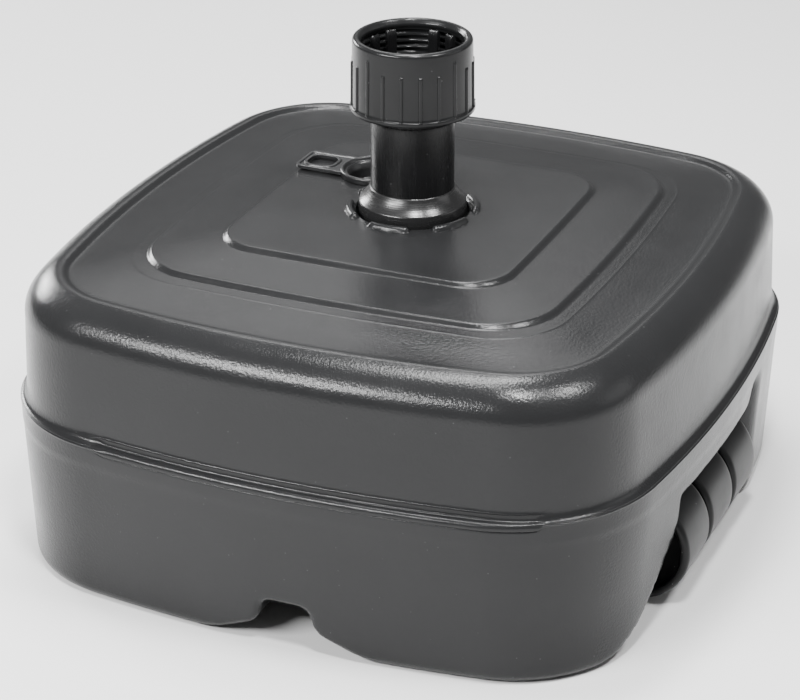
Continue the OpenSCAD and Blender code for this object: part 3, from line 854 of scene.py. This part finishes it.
def make_nut():
    sector = 2 * math.pi / RIBS
    close = np.array([-1.6, -1.3, -1.1, -0.85, -0.45, 0, 0.45, 0.85, 1.1, 1.3, 1.6]) / NUT_R
    between = np.linspace(close[-1], sector - close[-1], 15)[1:-1]
    one = np.concatenate([close, between])
    turn = np.concatenate([RIB_TURN + sector * k + one for k in range(RIBS)])
    wall = [(NUT_R + 0.5 * (1 - (z - 4.5) / 38), z) for z in
            [4.6, 5.4, *np.arange(6.5, 30, 1.7), *np.arange(30.5, 44.2, 0.55)]]
    outer = ([(36.5, 0), (36.9, 0), (NUT_R + 0.9, 0), (NUT_R + 1.45, 0.15), (NUT_R + 1.75, 0.55),
              (NUT_R + 1.8, 1.1), (NUT_R + 1.8, 2.4), (NUT_R + 1.7, 3.0), (NUT_R + 1.3, 3.45),
              (NUT_R + 0.85, 3.7)] + wall + [(NUT_R - 0.1, 45.2)])
    curl = np.radians(np.arange(0, 61, 10))
    crown = [(NUT_R - 2.9 + 2.8 * math.cos(t), 47.6 + 2.9 * math.sin(t)) for t in curl]
    crown += [(38.6, 50.45), (37.9, 50.6), (37.2, 50.55), (36.6, 50.2), (36.1, 49.6), (35.6, 48.7),
              (35.1, 47.9), (34.8, 47.4), (34.7, 46.8), (34.7, 45.9), (34.9, 45.4), (35.4, 44.6)]
    inner = [(THREAD_R, z) for z in np.arange(43.6, 8.2, -0.62)]
    seat = [(THREAD_R, 7.2), (35.7, 6.7), (36.2, 6.5), (37.6, 6.5), (37.6, 5.5), (37.6, 1.6), (37.6, 0.7),
            (36.9, 0.6), (36.5, 0.5)]
    path = outer + crown + inner + seat

    def shaped(angle, r, z):
        index = np.round(np.mod(angle - RIB_TURN, 2 * math.pi) / sector).astype(int) % RIBS
        across = facing(angle, RIB_TURN + sector * index) * NUT_R
        drop = np.where(index % (RIBS // LONG_RIBS) == 0, LONG_RIB_DROP, SHORT_RIB_DROP)
        outside = (r > NUT_R - 0.3) & (z > 3.2) & (z < 45)
        top = NUT_H - drop
        over = np.maximum(0, z - (top - 1.2)) / 1.2
        lift = np.sqrt(np.maximum(0, 1 - np.minimum(1, (np.abs(across) / 1.2)) ** 4))
        lift = lift * np.sqrt(np.maximum(0, 1 - over ** 2)) * 1.05
        r = r + np.where(outside, lift, 0)
        phase = np.mod(z / PITCH - angle / (2 * math.pi), 1)
        ridge = smooth_step(0.08, 0.26, phase) * (1 - smooth_step(0.52, 0.72, phase))
        threaded = (np.abs(r - THREAD_R) < 0.05) & (z > THREAD_LOW) & (z < THREAD_HIGH)
        ends = smooth_step(THREAD_LOW, 9.5, z) * (1 - smooth_step(42, THREAD_HIGH, z))
        r = r + np.where(threaded, THREAD_DEPTH * (1 - ridge) * ends, 0)
        return r, z + NUT_Z

    build("clamp_nut_shell", *turned(path, turn, shaped), "clamp_nut", ["clamp_nut"], "nut_plastic",
          nut_look, 38)


MALE_R = 35.2


def make_collet():
    path = ([(TUBE_R + 0.1, 286.5), (TUBE_R + 1.7, 286.5), (TUBE_R + 1.9, 286.8)]
            + [(TUBE_R + 1.9, z) for z in np.linspace(288, 302.6, 8)]
            + [(TUBE_R + 2.2, 303.3), (TUBE_R + 2.9, 303.5), (MALE_R - 0.4, 303.5), (MALE_R, 303.9)])
    for k in range(2):
        z = 303.9 + 3.5 * k
        path += [(MALE_R, z + 0.1), (MALE_R, z + 1.0), (MALE_R - 1.0, z + 1.8), (MALE_R - 1.0, z + 2.6),
                 (MALE_R, z + 3.4)]
    path += [(MALE_R - 0.1, 310.9), (MALE_R - 0.4, 311), (27.4, 311), (26.4, 310.8), (26.2, 310.2),
             (26.2, 303), (26.4, 302.3), (TUBE_R + 0.1, 302.2)]
    points, faces = turned(path, even(160))
    points = points.tolist()
    centre_r, half_r, half_t = 29.3, 2.1, math.radians(7.5)
    corner = 0.7
    # A finger by height: how far its section's depth changes, and how far its sides draw in
    section = [(307.5, 0, 0), (311.4, 0, 0), (312.5, 0, 0), (320, 0, 0), (326, 0, 0), (332, 0, 0),
               (334.2, -0.05, 0), (336, -0.3, 0), (337.4, -0.7, 0.1), (338.3, -1.0, 0.35),
               (338.8, -1.3, 0.75), (339, -1.6, 1.1)]
    for k in range(8):
        at = math.radians(23 + 45 + 90 * (k // 2) + (15 if k % 2 else -15))
        first = len(points)
        size = 0
        for z, out, shrink in section:
            half_w = half_t * centre_r - shrink
            half_d = half_r + out - 0.35 * shrink
            ring = []
            for cu, cv, start in ((1, 1, 0), (-1, 1, 90), (-1, -1, 180), (1, -1, 270)):
                for t in np.radians(np.linspace(start, start + 90, 4)):
                    ring.append((cu * (half_d - corner) + corner * math.cos(t),
                                 cv * (half_w - corner) + corner * math.sin(t)))
            ring = divided(ring, 1.3)
            size = size or len(ring)
            ring = ring if len(ring) == size else [ring[int(i * len(ring) / size)] for i in range(size)]
            for u, v in ring:
                r, t = centre_r + u, at + v / centre_r
                points.append([r * math.cos(t), r * math.sin(t), z])
        for row in range(len(section) - 1):
            for c in range(size):
                a, b = first + row * size + c, first + row * size + (c + 1) % size
                faces.append([a, b, b + size, a + size])
        faces.append([first + size - 1 - c for c in range(size)])
        faces.append([first + (len(section) - 1) * size + c for c in range(size)])
    build("collet_ring_and_fingers", points, faces, "base", ["clamp_collet"], "tube_plastic", tube_look, 38)


def make_captive_ring():
    path = rounded_path([(TUBE_R + 2.2, 293.4, 0.5), (37.2, 293.4, 0.6), (37.2, 295.8, 0.6),
                         (TUBE_R + 2.2, 295.8, 0.5)], 4)
    build("captive_ring_flat", *turned(divided(path, 2), even(160)), "nut_carrier", ["captive_ring"],
          "nut_plastic", nut_look, 40)


def make_lock_nut():
    lugs = 8
    sector = 2 * math.pi / lugs
    one = np.concatenate([np.radians([-9.6, -8.6, -7.8, -7.1, -5, 0, 5, 7.1, 7.8, 8.6, 9.6]),
                          np.linspace(math.radians(9.6), sector - math.radians(9.6), 12)[1:-1]])
    turn = np.concatenate([sector * k + one for k in range(lugs)])
    path = divided(rounded_path([(TUBE_R + 0.1, 21, 0.8), (40, 21, 1.5), (40, 36, 0.6),
                                 (TUBE_R + 0.1, 36, 0.6)], 4), 1.5)

    def lugged(angle, r, z):
        off = np.abs(facing(angle, sector * np.round(angle / sector)))
        rise = (1 - smooth_step(math.radians(7.1), math.radians(9.0), off)) * (1 - smooth_step(31.6, 33.2, z))
        return r + np.where(r > 36, 6 * rise, 0), z

    build("tube_lock_nut_ring", *turned(path, turn, lugged), "base", ["tube_lock_nut"], "tube_plastic",
          tube_look, 38)


def make_gasket():
    path = divided(rounded_path([(TUBE_R + 0.4, 36, 0.8), (46, 36, 1.4), (46, 40, 1.4),
                                 (TUBE_R + 0.4, 40, 0.8)], 4), 2)
    build("lock_gasket_ring", *turned(path, even(160)), "base", ["lock_gasket"], "seal_rubber",
          rubber_look, 50)


# ---------------------------------------------------------------- filler plug

SEAT = LID_Z + BOSS_RISE
TAB_TURN = math.radians(179)
TAB_L = 56
TAB_HALF = 15.5
TAB_Z = SEAT + 1.3
HOLE_AT = TAB_L - 15.5


def tab_distance(x, y, z):
    """The pull tab: a thin plate with a raised edge and a raised lip round its finger hole."""
    end = TAB_L - 6
    outline = polygon_distance(x, y, [(18, -20), (23, -17.6), (26.5, -15.9), (30, -TAB_HALF),
                                      (end - 4, -TAB_HALF), (TAB_L, -TAB_HALF), (TAB_L, TAB_HALF),
                                      (30, TAB_HALF), (26.5, 15.9), (23, 17.6), (18, 20)])
    past_end = np.maximum(x - end, 0)
    past_side = np.maximum(np.abs(y) - TAB_HALF + 6, 0)
    outline = round_and(outline, np.hypot(past_end, past_side) - 6.2, 1)
    hole = box_distance(x - HOLE_AT, y, 10, 9, 6)
    plate = round_and(outline, -hole, 0.5)
    edge = np.maximum(np.abs(plate + 0.95) - 0.95, 0)
    rib = 0.7 * (1 - smooth_step(0.5, 1.0, np.abs(y))) * smooth_step(27, 28, x)
    rib = rib * (1 - smooth_step(28.6, 30, x))
    lift = 1.15 * (1 - smooth_step(0.15, 1.0, edge)) + rib
    top = 1.55 + lift
    return round_and(plate, np.maximum(z - top, -z), 0.45)


def make_plug():
    cup = [(0, SEAT - 21), (17.2, SEAT - 21), (18.2, SEAT - 20.7), (19.0, SEAT - 19.6), (19.4, SEAT - 17.5),
           (19.65, SEAT - 6), (19.65, SEAT - 0.8), (19.9, SEAT - 0.15), (20.6, SEAT), (23.6, SEAT),
           (24.2, SEAT + 0.2), (24.45, SEAT + 0.8), (24.4, SEAT + 2.2), (24.45, SEAT + 3.2)]
    cup += arc(22.95, SEAT + 3.3, 1.45, 10, 150, 10)
    cup += [(21.35, SEAT + 3.3), (21.1, SEAT + 2.5), (20.6, SEAT + 2.1), (20.1, SEAT + 2.2),
            (19.6, SEAT + 2.35), (19.1, SEAT + 2.0), (18.4, SEAT + 0.6), (17.6, SEAT - 0.9),
            (17.2, SEAT - 1.9), (17.05, SEAT - 3), (17.05, SEAT - 8.6), (16.8, SEAT - 9.2),
            (16.1, SEAT - 9.6), (15.7, SEAT - 9.9), (15.45, SEAT - 10.6), (15.45, SEAT - 17.2),
            (15.1, SEAT - 18.1), (14.3, SEAT - 18.5), (0, SEAT - 18.5)]
    points, faces = turned(cup, even(168))
    plug = build("filler_plug_moulding", points + np.array([*FILLER, 0]), faces, "filler_plug",
                 ["filler_plug"], "plug_plastic", plug_look)
    step = 0.5
    lines = [np.arange(15.2, TAB_L + 1, step), np.arange(-18.2, 18.4, step),
             np.arange(-0.75, 4.2, step * 0.8)]

    def clear_of_bead(x, y, z):
        return np.maximum(tab_distance(x, y, z), 22.9 - np.hypot(x, y))

    points, quads = surface_net(clear_of_bead, *lines)
    c, s = math.cos(TAB_TURN), math.sin(TAB_TURN)
    x, y, z = points.T
    points = np.stack([c * x - s * y + FILLER[0], s * x + c * y + FILLER[1], z + TAB_Z], 1)
    change_shape(plug, "UNION", points, quads)
    smooth(plug, 42)


make_tube()
make_collar()
make_nut()
make_collet()
make_captive_ring()
make_lock_nut()
make_gasket()
make_plug()


# ---------------------------------------------------------------- rollers

def make_rollers():
    half, hub = 24.5, HUB_W / 2
    side = [(AXLE_R + 0.06, hub), (12.6, hub), (13.0, hub - 0.4), (13.4, 18.6), (14.6, 17.5), (31.5, 17.5),
            (33.2, 18.6), (33.6, 23.6), (34.1, 24.35), (34.8, half), (35.6, half)]
    side += arc(ROLLER_R - 3.9, half - 3.9, 3.9, 88, 12, 8) + [(ROLLER_R, half - 4.4), (ROLLER_R, 14)]
    tread = [(ROLLER_R, v) for v in (10, 5, 0)]
    right = [(r, -z) for r, z in side]
    path = right + [(ROLLER_R, -v) for v in (10, 5)] + tread[::-1] + side[::-1]
    path = [p for i, p in enumerate(path) if p != path[i - 1]]
    for name in ("front", "middle", "rear"):
        low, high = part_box("roller_" + name)
        middle = (low.y + high.y) / 2 / MM
        points, faces = turned(path, even(176))
        points = lying_along_y(points, AXLE_X, middle, AXLE_Z)
        build("roller_%s_drum" % name, points, faces, "roller_" + name, ["roller_" + name], "roller_plastic",
              roller_look, 42)


def make_axle():
    end = AXLE_HALF
    path = [(0, -end), (AXLE_R - 1.2, -end), (AXLE_R - 0.3, -end + 0.4), (AXLE_R, -end + 1.2)]
    path += [(AXLE_R, v) for v in np.linspace(-end + 4, end - 4, 12)]
    path += [(AXLE_R, end - 1.2), (AXLE_R - 0.3, end - 0.4), (AXLE_R - 1.2, end), (0, end)]
    points, faces = turned(path, even(72))
    build("roller_axle_rod", lying_along_y(points, AXLE_X, AXLE_Y, AXLE_Z), faces, "base", ["roller_axle"],
          "axle_steel", steel_look, 40)


def make_washers():
    low, high = washer_low.y / MM, washer_high.y / MM
    thick = 2.3
    half = thick / 2
    pitch = (high - low - thick) / 3
    points, faces = [], []
    for k in range(4):
        middle = low + half + pitch * k
        path = rounded_path([(AXLE_R + 0.06, -half, 0.3), (12, -half, 0.5), (12, half, 0.5),
                             (AXLE_R + 0.06, half, 0.3)], 3)
        washer, washer_faces = turned(path, even(72))
        washer = lying_along_y(washer, AXLE_X, middle, AXLE_Z)
        faces += [[i + len(points) for i in face] for face in washer_faces]
        points += washer.tolist()
    build("axle_washer_set", points, faces, "base", ["axle_washers"], "roller_plastic", roller_look, 42)


def make_caps():
    for name, way in (("front", -1), ("rear", 1)):
        low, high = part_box("axle_cap_" + name)
        near = (high.y if way < 0 else low.y) / MM
        path = [(0, 9.2), (AXLE_R - 0.1, 9.2), (AXLE_R + 0.05, 9.0), (AXLE_R + 0.05, 0.5), (AXLE_R + 0.5, 0),
                (CAP_R - 0.6, 0), (CAP_R, 0.6), (CAP_R, 8.2)]
        path += arc(CAP_R - 2.8, 8.2, 2.8, 15, 90, 6) + [(0, 11)]
        points, faces = turned(path, even(88))
        if way < 0:
            points[:, 2] *= -1
            faces = [face[::-1] for face in faces]
        build("axle_cap_%s_dome" % name, lying_along_y(points, AXLE_X, near, AXLE_Z), faces, "base",
              ["axle_cap_" + name], "roller_plastic", roller_look, 42)


make_rollers()
make_axle()
make_washers()
make_caps()


# ---------------------------------------------------------------- floor, light and camera

def flat_look(name, colour, roughness):
    """One colour without a pattern."""
    material = bpy.data.materials.new(name)
    material.use_nodes = True
    shader = material.node_tree.nodes["Principled BSDF"]
    shader.inputs["Base Color"].default_value = (*colour, 1)
    shader.inputs["Roughness"].default_value = roughness
    return material


def make_floor():
    half, level = 9000, -0.02
    points = [(-half, -half, level), (half, -half, level), (half, half, level), (-half, half, level)]
    paper = flat_look("floor_paper", (0.70,) * 3, 0.6)
    floor = build("studio_floor", points, [[0, 1, 2, 3]], None, (), None, paper)


def area_light(name, direction, distance, width, height, power):
    """A softbox at a distance in metres towards a direction from near the tank's middle, facing it."""
    lamp = bpy.data.lights.new(name, "AREA")
    lamp.shape = "RECTANGLE"
    lamp.size, lamp.size_y = width, height
    lamp.energy = power
    light = bpy.data.objects.new(name, lamp)
    bpy.context.scene.collection.objects.link(light)
    towards = Vector(direction).normalized()
    light.location = towards * distance + Vector((0, 0, 0.12))
    light.rotation_euler = towards.to_track_quat("Z", "Y").to_euler()


def make_world(level):
    world = bpy.data.worlds.new("studio_world")
    bpy.context.scene.world = world
    world.use_nodes = True
    background = world.node_tree.nodes["Background"]
    background.inputs["Color"].default_value = (level, level, level, 1)
    background.inputs["Strength"].default_value = 1


def make_camera():
    azimuth, elevation, distance = math.radians(22.78), math.radians(25.43), 1.9025
    target = Vector((0, 0, 0.1103))
    back = Vector((math.sin(azimuth) * math.cos(elevation), -math.cos(azimuth) * math.cos(elevation),
                   math.sin(elevation)))
    data = bpy.data.cameras.new("photo_camera")
    data.lens = 121.36
    data.sensor_width = 36
    data.shift_x = -0.0158
    data.clip_end = 50
    camera = bpy.data.objects.new("photo_camera", data)
    bpy.context.scene.collection.objects.link(camera)
    camera.location = target + back * distance
    camera.rotation_euler = back.to_track_quat("Z", "Y").to_euler()
    bpy.context.scene.camera = camera


make_floor()
area_light("left_softbox", (-0.90, 0.42, 0.30), 2.6, 0.85, 0.55, 55)
area_light("top_softbox", (-0.10, 0.04, 1.0), 2.0, 1.0, 0.3, 60)
area_light("top_front_light", (0.22, -0.36, 0.90), 2.0, 0.25, 0.25, 44)
area_light("top_right_light", (0.54, -0.06, 0.83), 2.0, 0.4, 0.35, 34)
area_light("front_strip", (-0.35, -0.73, 0.55), 2.4, 1.3, 0.05, 92)
area_light("back_softbox", (-0.38, 0.70, 0.60), 2.4, 1.4, 0.6, 6)
area_light("crest_strip", (-0.28, 0.50, 0.82), 2.4, 1.2, 0.25, 20)
area_light("right_fill", (0.90, 0.30, 0.30), 2.6, 1.4, 1.0, 6)
make_world(0.25)
make_camera()
